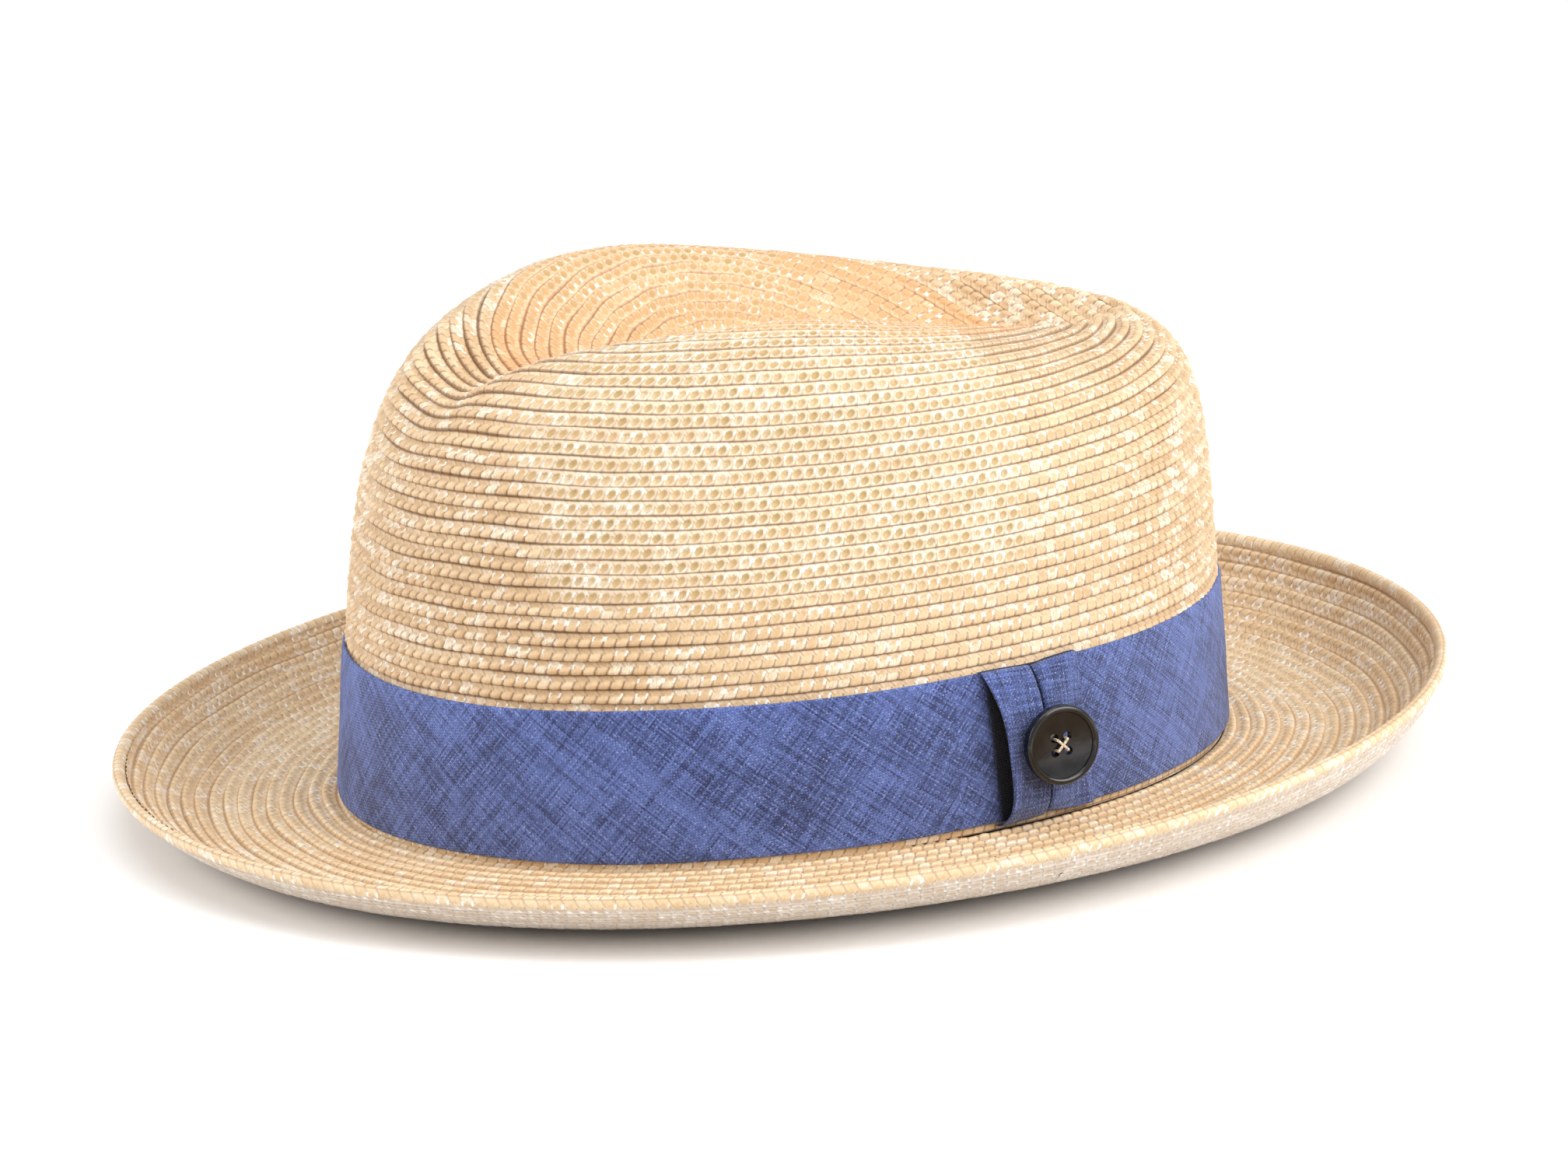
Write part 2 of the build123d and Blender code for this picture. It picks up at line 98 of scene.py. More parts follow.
# ---- the plait: one loop of straw is a bead, one turn round the hat is a course --------------------
BEAD = 2.75
BEAD_LEAN = 0.38        # a loop leans this much of a bead over the width of its course
CROSSING_LEAN = 0.8     # and the straw that crosses beside it leans this much
BALL_MIDDLE, BALL_LENGTH, BALL_WIDTH = 0.72, 0.50, 0.38         # the round of a loop, along and across
CELL_MIDDLE, CELL_LENGTH, CELL_WIDTH = 0.56, 0.36, 0.32         # the hollow of a loop that is pressed flat
COURSE_SWAY = 0.07      # a course wanders this share of its width
BEADS_PER_PATCH = 3.2   # length of a bleached patch
BAKE_LANES, RIM_LANES = 3, 24       # a course and the rim are unwrapped in this many lengths


# ---- shape of the straw, as in the CAD --------------------------------------------------------------
def smooth(t):
    t = np.clip(t, 0, 1)
    return t * t * (3 - 2 * t)


def bell(value, middle, spread):
    return np.exp(-((value - middle) / spread) ** 2)


def oval_radius(half_width, half_length, angle):
    return 1 / np.hypot(np.cos(angle) / half_width, np.sin(angle) / half_length)


def head_line_z(angle):
    return HEAD_LINE_HEIGHT + HEAD_LINE_SADDLE * np.cos(2 * angle)


def dent(x, y):
    """Depth of the teardrop dent under the point x, y of the crown's top."""
    front = np.clip((y - PINCH_Y) / PINCH_LENGTH, 0, 1)
    back = np.clip((y - DENT_MIDDLE_Y) / (DENT_BACK_Y - DENT_MIDDLE_Y), 0, 1)
    opening = np.sin(pi / 2 * front ** PINCH_FULLNESS)
    closing = np.maximum(1 - back ** DENT_BACK_FULLNESS[0], 1e-4) ** DENT_BACK_FULLNESS[1]
    half_width = (PINCH_HALF_WIDTH + (DENT_HALF_WIDTH - PINCH_HALF_WIDTH) * opening) * closing
    depth = DENT_DEPTH * np.sin(pi / 2 * front) * (1 - back ** DENT_BACK_SLOPE[0]) ** DENT_BACK_SLOPE[1]
    inside = 1 - np.abs(x) / half_width
    inside = np.minimum((inside + np.hypot(inside, CREST_SOFTNESS)) / 2, 1)
    return depth * (1 - (1 - inside) ** 2)


def crown_rz(turn, angle):
    """Radius and height of the crown's outer skin: turn runs from 0 at the head line to pi / 2 at the tip."""
    front = np.maximum(-np.sin(angle), 0) ** 2
    back = np.maximum(np.sin(angle), 0) ** 2
    power = FRONT_SQUARENESS * front + BACK_SQUARENESS * back + SIDE_SQUARENESS * (1 - front - back)
    size = (np.cos(turn) ** power + np.sin(turn) ** power) ** (1 / power)
    out = np.cos(turn) / size
    up = np.sin(turn) / size
    taper = np.where(np.sin(angle) < 0, FRONT_TAPER, BACK_TAPER)
    r = out * oval_radius(HEAD_HALF_WIDTH * (1 - SIDE_TAPER * up), HEAD_HALF_LENGTH * (1 - taper * up), angle)
    x = r * np.cos(angle)
    y = r * np.sin(angle)
    drop = BACK_DROP * smooth((y - BACK_DROP_START) / BACK_DROP_LENGTH)
    drop = drop + FRONT_DROP * smooth((FRONT_DROP_START - y) / FRONT_DROP_LENGTH)
    z = CROWN_HEIGHT * up - drop * up ** 3
    cheek = bell(y, CHEEK_MIDDLE, CHEEK_LENGTH) * bell(z, CHEEK_HEIGHT, CHEEK_SPREAD)
    r = r - CHEEK_DEPTH * cheek * smooth(np.abs(x) / CHEEK_EDGE)
    return r, z - dent(x, y) + HEAD_LINE_HEIGHT + (1 - up) * (head_line_z(angle) - HEAD_LINE_HEIGHT)


def crown_outside(turn, angle):
    r, z = crown_rz(turn, angle)
    return np.stack([r * np.cos(angle), r * np.sin(angle), z], -1)


def brim_top(share, angle):
    """Top skin of the brim: share runs from 0 at the head line to 1 at the rim."""
    head = oval_radius(HEAD_HALF_WIDTH, HEAD_HALF_LENGTH, angle)
    rim = oval_radius(RIM_HALF_WIDTH, RIM_HALF_LENGTH, angle)
    rim_z = HEAD_LINE_HEIGHT + RIM_RISE + RIM_BACK_LIFT * np.sin(angle)
    run = (rim - head) * (1 - BRIM_FLAT)
    floor = head_line_z(angle) - BRIM_DROOP
    rise = rim_z - floor
    curl = (run ** 2 + rise ** 2) / (2 * rise)
    swing = np.arcsin(np.minimum(run / curl, 1.0))
    swing = np.where(rise < run, swing, pi - swing) * np.clip((share - BRIM_FLAT) / (1 - BRIM_FLAT), 0, 1.2)
    flat = share < BRIM_FLAT
    r = np.where(flat, head + (rim - head) * share, rim - run + curl * np.sin(swing))
    level = head_line_z(angle) - BRIM_DROOP * smooth(share / BRIM_FLAT)
    z = np.where(flat, level, floor + curl * (1 - np.cos(swing)))
    return np.stack([r * np.cos(angle), r * np.sin(angle), z], -1)


def wall_radius(height, angle):
    """Radius of the crown's outer skin at a height above the head line, on the plain lower wall."""
    turn = np.arctan2(height, oval_radius(HEAD_HALF_WIDTH, HEAD_HALF_LENGTH, angle))
    low_r, low_z = crown_rz(turn * 0.8, angle)
    high_r, high_z = crown_rz(turn * 1.3, angle)
    share = (head_line_z(angle) + height - low_z) / (high_z - low_z)
    return low_r + share * (high_r - low_r)


def around(r, angle, z):
    return np.stack(np.broadcast_arrays(r * np.cos(angle), r * np.sin(angle), z), -1)


# ---- meshes ----------------------------------------------------------------------------------------
def mesh_piece(name, vertices, faces, uvs, attributes=None):
    """Object of quads from arrays in millimetres; uvs maps a layer's name to one pair per face corner."""
    mesh = bpy.data.meshes.new(name)
    count = len(faces)
    used, faces = np.unique(faces, return_inverse=True)
    mesh.vertices.add(len(used))
    mesh.vertices.foreach_set("co", (np.asarray(vertices)[used] * MM).astype(np.float32).ravel())
    mesh.loops.add(count * 4)
    mesh.loops.foreach_set("vertex_index", faces.astype(np.int32).ravel())
    mesh.polygons.add(count)
    mesh.polygons.foreach_set("loop_start", np.arange(0, count * 4, 4, dtype=np.int32))
    mesh.polygons.foreach_set("loop_total", np.full(count, 4, dtype=np.int32))
    mesh.polygons.foreach_set("use_smooth", np.ones(count, dtype=bool))
    mesh.update(calc_edges=True)
    for layer, uv in uvs.items():
        mesh.uv_layers.new(name=layer).data.foreach_set("uv", np.asarray(uv, dtype=np.float32).ravel())
    for attribute, values in (attributes or {}).items():
        data = mesh.attributes.new(attribute, "FLOAT", "POINT").data
        data.foreach_set("value", np.asarray(values, dtype=np.float32).ravel()[used])
    piece = bpy.data.objects.new(name, mesh)
    bpy.context.collection.objects.link(piece)
    return piece


def lanes(column, face_column, row, columns, rows, strip, strips, cuts):
    """Unwrapped place of a face's corner: every strip is cut in equal runs, stacked one over the other."""
    run = columns // cuts
    lane = np.minimum(face_column // run, cuts - 1)
    u = 0.005 + 0.99 * (column - lane * run) / run
    v = (strip * cuts + lane + 0.04 + 0.92 * row / (rows - 1)) / (strips * cuts)
    return np.stack(np.broadcast_arrays(u, v), -1)


# Steps along a skin, steps round it, and entries of its table.
SKIN_STEPS, SKIN_TURN, SKIN_TOLD = 800, 360, 1000


class Skin:
    """A skin of the hat told in courses from one edge: place(course, angle) gives the point on it."""

    def __init__(self, shape, last, courses):
        """shape(parameter, angle) runs from 0 to last. Near the first edge a course has its true width,
        and towards the last edge every direction shares what is left, so that they all meet there."""
        fine = np.linspace(0, last, SKIN_STEPS)
        angles = np.linspace(0, 2 * pi, SKIN_TURN + 1)
        points = shape(*np.meshgrid(fine, angles))
        steps = np.linalg.norm(np.diff(points, axis=1), axis=2)
        length = np.concatenate([np.zeros((SKIN_TURN + 1, 1)), np.cumsum(steps, axis=1)], axis=1)
        share = length / length[:, -1:]
        told = (1 - smooth(share)) * length / length[:, -1].mean() + smooth(share) * share
        told = np.maximum.accumulate(told, axis=1)
        self.courses = courses
        self.table = np.stack([np.interp(np.linspace(0, 1, SKIN_TOLD), row, fine) for row in told])
        self.shape = shape

    def place(self, course, angle):
        c = np.clip(course / self.courses, 0, 1) * (SKIN_TOLD - 1)
        a = (angle % (2 * pi)) / (2 * pi) * SKIN_TURN
        c0 = np.clip(c.astype(int), 0, SKIN_TOLD - 2)
        a0 = np.clip(a.astype(int), 0, SKIN_TURN - 1)
        fc = c - c0
        fa = a - a0
        low = (1 - fc) * self.table[a0, c0] + fc * self.table[a0, c0 + 1]
        high = (1 - fc) * self.table[a0 + 1, c0] + fc * self.table[a0 + 1, c0 + 1]
        return self.shape((1 - fa) * low + fa * high, angle)

    def normal(self, course, angle):
        across = self.place(course + 0.4, angle) - self.place(course - 0.4, angle)
        along = self.place(course, angle + 0.012) - self.place(course, angle - 0.012)
        n = np.cross(along, across)
        return n / (np.linalg.norm(n, axis=-1, keepdims=True) + 1e-9)


# ---- plait -----------------------------------------------------------------------------------------
# One course across: how far over it each row of the mesh lies, and how high the flat of the straw is.
ROW_ACROSS = np.array([-0.10, 0.06, 0.18, 0.30, 0.42, 0.54, 0.66, 0.78, 0.89, 0.98, 1.03])
ROW_HEIGHT = np.array([-1.10, -0.75, -0.65, -0.56, -0.46, -0.36, -0.30, -0.28, -0.34, -0.58, -1.10])


def relief(bead, v, press):
    """Height of the loops of straw over the flat, at a place along the bead and v across the course."""
    lean = (bead + BEAD_LEAN * (v - 0.7)) % 1.0 - 0.5
    ball = np.sqrt(np.maximum(1 - (lean / BALL_LENGTH) ** 2 - ((v - BALL_MIDDLE) / BALL_WIDTH) ** 2, 0))
    zigzag = np.abs(((bead - CROSSING_LEAN * v) % 1.0) * 2 - 1)
    off_middle = np.abs(lean / CELL_LENGTH) ** 1.5 + np.abs((v - CELL_MIDDLE) / CELL_WIDTH) ** 1.5
    hollow = np.exp(-off_middle ** 2)
    rope = 1.0 * ball + 0.24 * zigzag * bell(v, 0.25, 0.18)
    cell = 0.55 - 0.70 * hollow + 0.10 * zigzag * bell(v, 0.15, 0.18)
    return (1 - press) * rope + press * cell


def plait(name, skin, first, last, columns, press_at, boldness, side=1, drift=1, sunk=0.0):
    """Courses first to last of the spiral on a skin, every course lapped over its neighbour.

    drift is 1 where the exposed edge of a course faces the skin's first edge and -1 where it faces the last;
    side is 1 for the skin's outer face and -1 for the other one. sunk lowers the relief into the skin."""
    rows = len(ROW_ACROSS)
    strips = last - first
    a = np.linspace(0, 2 * pi, columns + 1)[None, :, None]
    k = np.arange(first, last)[:, None, None]
    v = ROW_ACROSS[None, None, :]
    shape = (strips, columns + 1, rows)
    wave = COURSE_SWAY * (np.sin(a * 7 + k * 2.1) + np.sin(a * 19 + k * 5.7)) * np.sin(a / 2)
    course = np.broadcast_to(k + wave + (a / (2 * pi) + 1 - v if drift > 0 else v - a / (2 * pi)), shape)
    angle = np.broadcast_to(a, shape)
    here = skin.place(course, angle)
    normal = skin.normal(course, angle) * side
    steps = np.linalg.norm(np.diff(here[:, :, rows // 2], axis=1), axis=2)
    run = np.concatenate([np.zeros((strips, 1)), np.cumsum(steps, axis=1)], axis=1)
    run += np.concatenate([[0], np.cumsum(run[:, -1])[:-1]])[:, None]
    u = np.broadcast_to((run / BEAD)[:, :, None], shape)
    press = press_at(here)
    chance = np.sin(np.floor(u) * 12.9898 + k * 78.233) * 43758.5453 % 1.0
    loops = relief(u % 1.0, v, press) * (0.78 + 0.44 * chance)
    loops = loops * smooth((v + 0.02) / 0.12) * smooth((1.04 - v) / 0.08)
    flat = np.broadcast_to(ROW_HEIGHT[None, None, :], shape) * (1 - 0.30 * press)
    height = (loops + flat) * boldness - sunk
    vertices = (here + normal * height[..., None]).reshape(-1, 3)
    s, c, r = (g[..., None] for g in np.meshgrid(
        np.arange(strips), np.arange(columns), np.arange(rows - 1), indexing="ij"))
    order = slice(None) if side * drift > 0 else slice(None, None, -1)
    corner_c = (c + np.array([0, 0, 1, 1]))[..., order]
    corner_r = (r + np.array([0, 1, 1, 0]))[..., order]
    faces = ((s * (columns + 1) + corner_c) * rows + corner_r).reshape(-1, 4)
    on_skin = ((course > 0) & (course < skin.courses)).reshape(-1)[faces].any(axis=1)
    faces = faces[on_skin]
    flat_u = u.reshape(-1)[faces]
    flat_v = (np.clip(np.broadcast_to(v, shape), 0.01, 0.99) + k).reshape(-1)[faces]
    bake = lanes(corner_c, c, corner_r, columns, rows, s, strips, BAKE_LANES).reshape(-1, 4, 2)[on_skin]
    return mesh_piece(
        name, vertices, faces,
        {"OFBake": bake.reshape(-1, 2), "plait": np.stack([flat_u, flat_v], -1).reshape(-1, 2)},
        {"press": press.ravel()})


def ribbon(name, sections, closed, attributes=None):
    """Closed ribbon of cloth: sections[i] is one section's ring of points, and closed joins last to first."""
    rows, ring = sections.shape[:2]
    columns = rows if closed else rows - 1
    c, r = (g[..., None] for g in np.meshgrid(np.arange(columns), np.arange(ring), indexing="ij"))
    corner_c = c + np.array([0, 1, 1, 0])
    corner_r = r + np.array([0, 0, 1, 1])
    faces = ((corner_c % rows) * ring + corner_r % ring).reshape(-1, 4)
    whole_rings = np.concatenate([sections, sections[:, :1]], 1)
    steps = np.linalg.norm(np.diff(whole_rings, axis=1), axis=2).mean(0)
    across = np.concatenate([[0], np.cumsum(steps)])
    whole_turn = np.concatenate([sections, sections[:1]], 0)
    length = np.linalg.norm(np.diff(whole_turn, axis=0), axis=2)[:columns].mean(1)
    along = np.concatenate([[0], np.cumsum(length)])
    cloth = np.stack([along[corner_c], across[corner_r]], -1).reshape(-1, 2)
    bake = np.stack([0.01 + 0.96 * corner_c / columns, 0.01 + 0.96 * corner_r / ring], -1).reshape(-1, 2)
    if not closed:
        half = np.arange(ring // 2 - 1)
        for end, turn in ((0, 1), (rows - 1, -1)):
            cap = np.stack([half, half + 1, ring - 2 - half, ring - 1 - half], -1)[:, ::turn] + end * ring
            faces = np.concatenate([faces, cap])
            cloth = np.concatenate([cloth, np.zeros((len(cap) * 4, 2))])
            bake = np.concatenate([bake, np.full((len(cap) * 4, 2), 0.99)])
    return mesh_piece(name, sections.reshape(-1, 3), faces, {"OFBake": bake, "cloth": cloth}, attributes)


# ---- materials -------------------------------------------------------------------------------------
class Nodes:
    """Short way to build a material's node tree."""

    def __init__(self, name):
        self.material = bpy.data.materials.new(name)
        self.material.use_nodes = True
        self.tree = self.material.node_tree
        self.shader = self.tree.nodes["Principled BSDF"]

    def put(self, socket, value):
        if isinstance(value, bpy.types.NodeSocket):
            self.tree.links.new(value, socket)
        else:
            socket.default_value = value

    def add(self, kind, inputs=None, **settings):
        node = self.tree.nodes.new(kind)
        for key, value in settings.items():
            setattr(node, key, value)
        for key, value in (inputs or {}).items():
            self.put(node.inputs[key], value)
        return node

    def math(self, operation, a, b=0.0):
        return self.add("ShaderNodeMath", {0: a, 1: b}, operation=operation).outputs[0]

    def plus(self, a, b):
        return self.math("ADD", a, b)

    def times(self, a, b):
        return self.math("MULTIPLY", a, b)

    def ramp(self, value, low, high):
        """0 where value is at low, 1 where it is at high."""
        inputs = {"Value": value, "From Min": low, "From Max": high}
        return self.add("ShaderNodeMapRange", inputs, interpolation_type="SMOOTHSTEP").outputs["Result"]

    def mix(self, factor, a, b):
        node = self.add("ShaderNodeMix", data_type="RGBA")
        self.put(node.inputs["Factor"], factor)
        self.put(node.inputs[6], a)
        self.put(node.inputs[7], b)
        return node.outputs[2]

    def noise(self, vector, scale, detail=2.0):
        inputs = {"Vector": vector, "Scale": scale, "Detail": detail}
        return self.add("ShaderNodeTexNoise", inputs).outputs["Fac"]

    def chance(self, x, y, z=0.0):
        """Random number of a cell, from three whole numbers."""
        return self.add("ShaderNodeTexWhiteNoise", {"Vector": self.vector(x, y, z)}).outputs["Value"]

    def vector(self, x, y, z=0.0):
        return self.add("ShaderNodeCombineXYZ", {"X": x, "Y": y, "Z": z}).outputs[0]

    def uv(self, layer):
        split = self.add("ShaderNodeSeparateXYZ", {0: self.add("ShaderNodeUVMap", uv_map=layer).outputs[0]})
        return split.outputs[0], split.outputs[1]

    def attribute(self, name):
        return self.add("ShaderNodeAttribute", attribute_name=name).outputs["Fac"]

    def bump(self, height, distance, strength=1.0):
        node = self.add("ShaderNodeBump", {"Height": height, "Distance": distance, "Strength": strength})
        self.tree.links.new(node.outputs[0], self.shader.inputs["Normal"])

    def finish(self, roughness, specular, sheen=0.0):
        self.shader.inputs["Roughness"].default_value = roughness
        self.shader.inputs["Specular IOR Level"].default_value = specular
        self.shader.inputs["Sheen Weight"].default_value = sheen
        return self.material


def rgb(code):
    """Linear colour of an sRGB hex code."""
    parts = [int(code[i:i + 2], 16) / 255 for i in (0, 2, 4)]
    return [p / 12.92 if p <= 0.04045 else ((p + 0.055) / 1.055) ** 2.4 for p in parts] + [1.0]


def straw_material(name, base, warm, pale, fibre_and_shade, pale_share_and_glints, seam_shade, hollow_tone="AC8F58"):
    """Plaited straw: every loop has its own tone, some are bleached, and the seams between courses are
    darkened with painted shade.

    After the colours come the share of pale straw, which also sets how often painted highlights show at the
    joints, and how dark the painted shade in the line between two courses is, both 0 to 1. The darkest colour
    serves for fibre streaks and for the painted shade at bead edges and seams."""
    m = Nodes(name)
    u, v = m.uv("plait")
    course = m.math("FLOOR", v)
    across = m.math("FRACT", v)
    leaned = m.plus(u, m.times(m.math("SUBTRACT", across, 0.7), BEAD_LEAN))
    crossing = m.math("SUBTRACT", u, m.times(across, CROSSING_LEAN))
    bead = m.math("FLOOR", leaned)
    in_bead = m.math("SUBTRACT", m.math("FRACT", leaned), 0.5)
    loops = m.ramp(across, 0.36, 0.50)
    above = m.math("SUBTRACT", 1.0, loops)
    tone = m.plus(m.times(m.chance(bead, course), loops),
                  m.times(m.chance(m.math("FLOOR", crossing), course, 3.7), above))
    stripe = m.chance(course, 11.0)
    patch = m.noise(m.vector(m.math("DIVIDE", u, BEADS_PER_PATCH), m.times(course, 7.31)), 1.0, 1.0)
    fibre = m.noise(m.vector(m.times(leaned, 9.0), m.times(v, 3.0)), 1.0, 3.0)
    broad = m.noise(m.vector(m.math("DIVIDE", u, 34.0), m.math("DIVIDE", v, 5.0)), 1.0, 2.0)
    press = m.attribute("press")

    shade = m.plus(m.plus(m.times(tone, 0.40), m.times(broad, 0.55)), m.times(stripe, 0.22))
    colour = m.mix(m.ramp(shade, 0.35, 0.90), rgb(base), rgb(warm))
    bleached = m.ramp(m.plus(patch, m.times(tone, 0.40)), 0.98 - 0.3 * pale_share_and_glints, 1.12 - 0.3 * pale_share_and_glints)
    colour = m.mix(m.times(m.times(bleached, m.ramp(fibre, 0.30, 0.60)), 0.55), colour, rgb(pale))
    colour = m.mix(m.times(m.ramp(fibre, 0.62, 0.30), 0.20), colour, rgb(fibre_and_shade))

    off_centre = m.math("ABSOLUTE", m.math("SUBTRACT", across, 0.56))
    spread = m.plus(m.math("POWER", m.math("DIVIDE", m.math("ABSOLUTE", in_bead), 0.40), 1.5),
                    m.math("POWER", m.math("DIVIDE", off_centre, 0.36), 1.5))
    inside = m.ramp(spread, 1.15, 0.60)
    hollow = m.times(m.times(press, inside), m.plus(m.times(m.chance(bead, course, 5.3), 0.55), 0.30))
    ring = m.times(press, m.math("SUBTRACT", 1.0, inside))
    colour = m.mix(hollow, colour, rgb(hollow_tone))
    colour = m.mix(m.times(ring, 0.28), colour, rgb(pale))
    crossing_edge = m.ramp(m.math("ABSOLUTE", m.math("SUBTRACT", m.math("FRACT", crossing), 0.5)), 0.34, 0.49)
    bead_edge = m.ramp(m.math("ABSOLUTE", in_bead), 0.36, 0.50)
    edge = m.plus(m.times(bead_edge, loops), m.times(m.times(crossing_edge, above), 0.6))
    edge_shade = m.times(m.times(edge, m.math("SUBTRACT", 1.0, m.times(press, 0.5))), 0.60)
    colour = m.mix(edge_shade, colour, rgb(fibre_and_shade))
    joint = m.times(m.ramp(m.math("ABSOLUTE", in_bead), 0.24, 0.40),
                    m.ramp(m.math("ABSOLUTE", m.math("SUBTRACT", across, 0.40)), 0.22, 0.10))
    # Painted highlights: white glints at the joints, more of them where more of the straw is pale.
    sparkle = m.plus(m.chance(bead, course, 8.1), patch)
    glint = m.times(joint, m.ramp(sparkle, 1.42 - 0.3 * pale_share_and_glints, 1.48 - 0.3 * pale_share_and_glints))
    colour = m.mix(m.times(glint, 0.85), colour, rgb("FFFBF2"))
    # Painted shade: the straw is darkened along the line between two courses.
    lip = m.math("MAXIMUM", m.ramp(across, 0.90, 0.98), m.ramp(across, 0.12, 0.03))
    lip = m.times(lip, m.math("SUBTRACT", 1.0, m.times(press, 0.35)))
    colour = m.mix(m.times(lip, seam_shade), colour, rgb(fibre_and_shade))
    m.put(m.shader.inputs["Base Color"], colour)
    m.bump(m.plus(m.times(fibre, 0.5), m.times(edge, -0.8)), 0.00030, 0.7)
    return m.finish(0.42, 0.5, 0.08)


def cloth_material(name, dark, light, fleck, pitch=0.42, turned=0.0):
    """Plain-woven cloth: crossing threads with their own tones, slubs and pale flecks. Lengths in mm.

    A point attribute is 1 where another piece lies over the cloth, and there the colour is painted near
    black: a painted shadow."""
    m = Nodes(name)
    along, across = m.uv("cloth")
    u = m.plus(m.times(along, cos(turned)), m.times(across, -sin(turned)))
    v = m.plus(m.times(along, sin(turned)), m.times(across, cos(turned)))
    weft = m.math("DIVIDE", v, pitch)
    warp = m.math("DIVIDE", u, pitch)
    over = m.math("MODULO", m.math("ABSOLUTE", m.plus(m.math("FLOOR", weft), m.math("FLOOR", warp))), 2.0)
    under = m.math("SUBTRACT", 1.0, over)
    weft_tone = m.noise(m.vector(m.times(u, 0.09), m.times(m.math("FLOOR", weft), 3.17)), 1.0, 3.0)
    warp_tone = m.noise(m.vector(m.times(m.math("FLOOR", warp), 2.71), m.times(v, 0.09)), 1.0, 3.0)
    top_tone = m.plus(m.times(weft_tone, over), m.times(warp_tone, under))
    tone = m.plus(m.times(top_tone, 0.55), m.times(m.plus(weft_tone, warp_tone), 0.225))
    broad = m.noise(m.vector(m.times(u, 0.03), m.times(v, 0.05)), 1.0, 3.0)
    colour = m.mix(m.ramp(m.plus(m.times(tone, 0.8), m.times(broad, 0.3)), 0.42, 0.66), rgb(dark), rgb(light))
    speck = m.noise(m.vector(m.math("DIVIDE", u, 0.5), m.math("DIVIDE", v, 0.5)), 1.0, 2.0)
    flecks = m.ramp(m.plus(m.times(speck, 0.85), m.times(tone, 0.3)), 0.62, 0.78)
    colour = m.mix(m.times(flecks, 0.62), colour, rgb(fleck))
    ridge_u = m.math("ABSOLUTE", m.math("SINE", m.times(warp, pi)))
    ridge_v = m.math("ABSOLUTE", m.math("SINE", m.times(weft, pi)))
    ridge = m.plus(m.times(ridge_v, over), m.times(ridge_u, under))
    # Painted shade between the threads: the cloth is darker where the weave dips.
    weave_dip_shade = [part * 0.25 for part in rgb(dark)[:3]] + [1.0]
    colour = m.mix(m.times(m.ramp(ridge, 0.45, 0.0), 0.55), colour, weave_dip_shade)
    # Painted shadow: the cloth turns near black where the keeper lies over it.
    colour = m.mix(m.times(m.attribute("keeper_shadow"), 0.97), colour, [0.001, 0.001, 0.002, 1.0])
    m.put(m.shader.inputs["Base Color"], colour)
    m.bump(m.plus(ridge, m.times(tone, 0.8)), 0.00018, 0.8)
    return m.finish(0.85, 0.2, 0.25)


def plain_material(name, low, high, scale, roughness, bump, specular=0.4):
    """Mottled material for a small hard or waxy piece; scale is in spots per metre."""
    m = Nodes(name)
    spots = m.noise(m.add("ShaderNodeNewGeometry").outputs["Position"], scale, 4.0)
    m.put(m.shader.inputs["Base Color"], m.mix(m.ramp(spots, 0.35, 0.68), rgb(low), rgb(high)))
    m.bump(spots, bump)
    return m.finish(roughness, specular)


crown_straw = straw_material("crown_straw", "D3B187", "E5C9A2", "F8F1E3", "7A5638", 0.70, 0.70)
# The tip's straw is a more orange copy of the crown's: the orange is a painted glow of light through the thin
# straw at the top.
glowing_tip_straw = straw_material("glowing_tip_straw", "D9A874", "E8BF90", "F6E9D2", "976238", 0.30, 0.65)
brim_straw = straw_material("brim_straw", "E0BD90", "EDD3AC", "F5EBDD", "8E683F", 0.65, 0.45)
under_straw = straw_material("under_straw", "CDB7A0", "DECDBA", "F2EAE0", "86705A", 0.80, 0.35, "BFA68C")
blue_cloth = cloth_material("blue_cloth", "333C68", "677CC4", "B2C0EA", turned=radians(38))
# The keeper's cloth is the band's blue painted darker, as painted shade, with its weave turned another way.
shaded_keeper_cloth = cloth_material("shaded_keeper_cloth", "28315A", "5C70B4", "B9C3E2", turned=radians(4))
sweat_cloth = cloth_material("sweat_cloth", "B9A184", "D8C6AA", "EFE4D0", pitch=0.6)
horn = plain_material("horn", "060606", "1E1D1F", 260, 0.16, 0.00005, specular=0.6)
pale_thread = plain_material("pale_thread", "B9A48C", "EFE2CF", 2600, 0.7, 0.0002)
blue_thread = plain_material("blue_thread", "2B396B", "4D619F", 2600, 0.75, 0.0002)
reed_stiff = plain_material("reed_stiff", "8E7B5E", "C9B897", 900, 0.5, 0.0001)

# ---- straw pieces ----------------------------------------------------------------------------------
CROWN_COURSES = 58
BRIM_COURSES = 16
UNDER_SUNK = 0.22       # keeps the loops under the brim off the floor
BAND_COURSES = 9
TIP_TURN = pi / 2 - 0.004


def rope(points):
    """Nowhere pressed."""
    return np.zeros(points.shape[:-1])


def crown_press(points):
    """1 on the blocked hollow of each side, where the plait is ironed flat."""
    x, y, z = points[..., 0], points[..., 1], points[..., 2]
    wide = smooth((54 - np.abs(y - CHEEK_MIDDLE)) / 7)
    tall = smooth((z - 52) / 16) * smooth(np.abs(x) / 30 - 0.4)
    side = 0.45 * smooth((y + 70) / 25) * (1 - smooth((y - 40) / 30))
    return side + (1 - side) * wide * tall


def brim_press(points):
    return np.full(points.shape[:-1], 0.20)


def under_press(points):
    return np.full(points.shape[:-1], 0.9)


